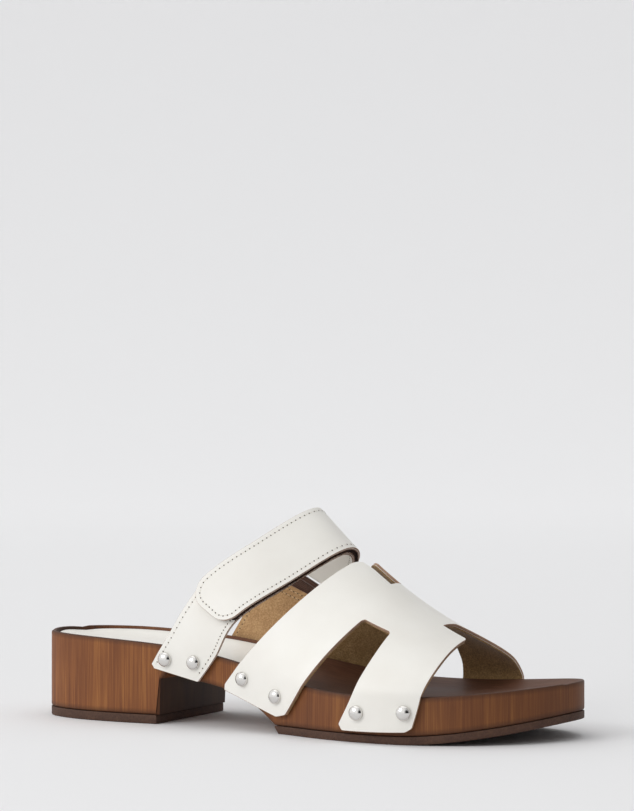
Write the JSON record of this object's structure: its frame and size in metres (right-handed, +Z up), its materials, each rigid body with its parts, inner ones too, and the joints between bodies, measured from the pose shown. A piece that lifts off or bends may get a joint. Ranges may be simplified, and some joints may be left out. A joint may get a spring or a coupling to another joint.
{
  "type": "wooden clog sandal",
  "caption": "Women's clog sandal for the right foot: wooden platform, studded cut-out white leather vamp, and an instep strap that folds back through a metal ring.",
  "frame": {"origin": "centre of the heel's ground face", "axes": "+X towards the toe, +Y towards the inner side of the foot, +Z up from the ground"},
  "size_m": [0.2551, 0.0993, 0.0954],
  "materials": {
    "wood": "satin stained beech",
    "rubber": "matte moulded tread",
    "white_leather": "smooth coated",
    "brown_suede": "split suede",
    "tan_suede": "split suede",
    "tape": "nylon hook and loop",
    "elastic": "ribbed woven elastic",
    "steel": "polished nickel plate"
  },
  "bodies": {
    "shoe": {"wooden_sole": "wood", "front_tread": "rubber", "heel_top_piece": "rubber", "insole_sock": "white_leather", "vamp_leather": "white_leather", "vamp_lining": "brown_suede", "strap_outer": "white_leather", "strap_lining": "white_leather", "loop_tape": "tape", "inner_strap_lining": "tan_suede", "inner_strap_outer": "white_leather", "elastic_tab": "elastic", "strap_ring": "steel", "stud_outer_strap_rear": "steel", "stud_outer_strap_front": "steel", "stud_outer_vamp_1": "steel", "stud_outer_vamp_2": "steel", "stud_outer_vamp_3": "steel", "stud_outer_vamp_4": "steel", "stud_inner_strap_rear": "steel", "stud_inner_strap_front": "steel", "stud_inner_vamp_1": "steel", "stud_inner_vamp_2": "steel", "stud_inner_vamp_3": "steel", "stud_inner_vamp_4": "steel"},
    "flap": {"hook_tape": "tape", "flap_underside": "white_leather", "flap_face": "white_leather"}
  },
  "joints": [
    {"name": "flap_peel", "type": "hinge", "parent": "shoe", "child": "flap", "pos_m": [0.07519, 0.03589, 0.06643], "axis": [-0.7785, -0.3196, 0.5402], "range_deg": [0, 110]}
  ]
}
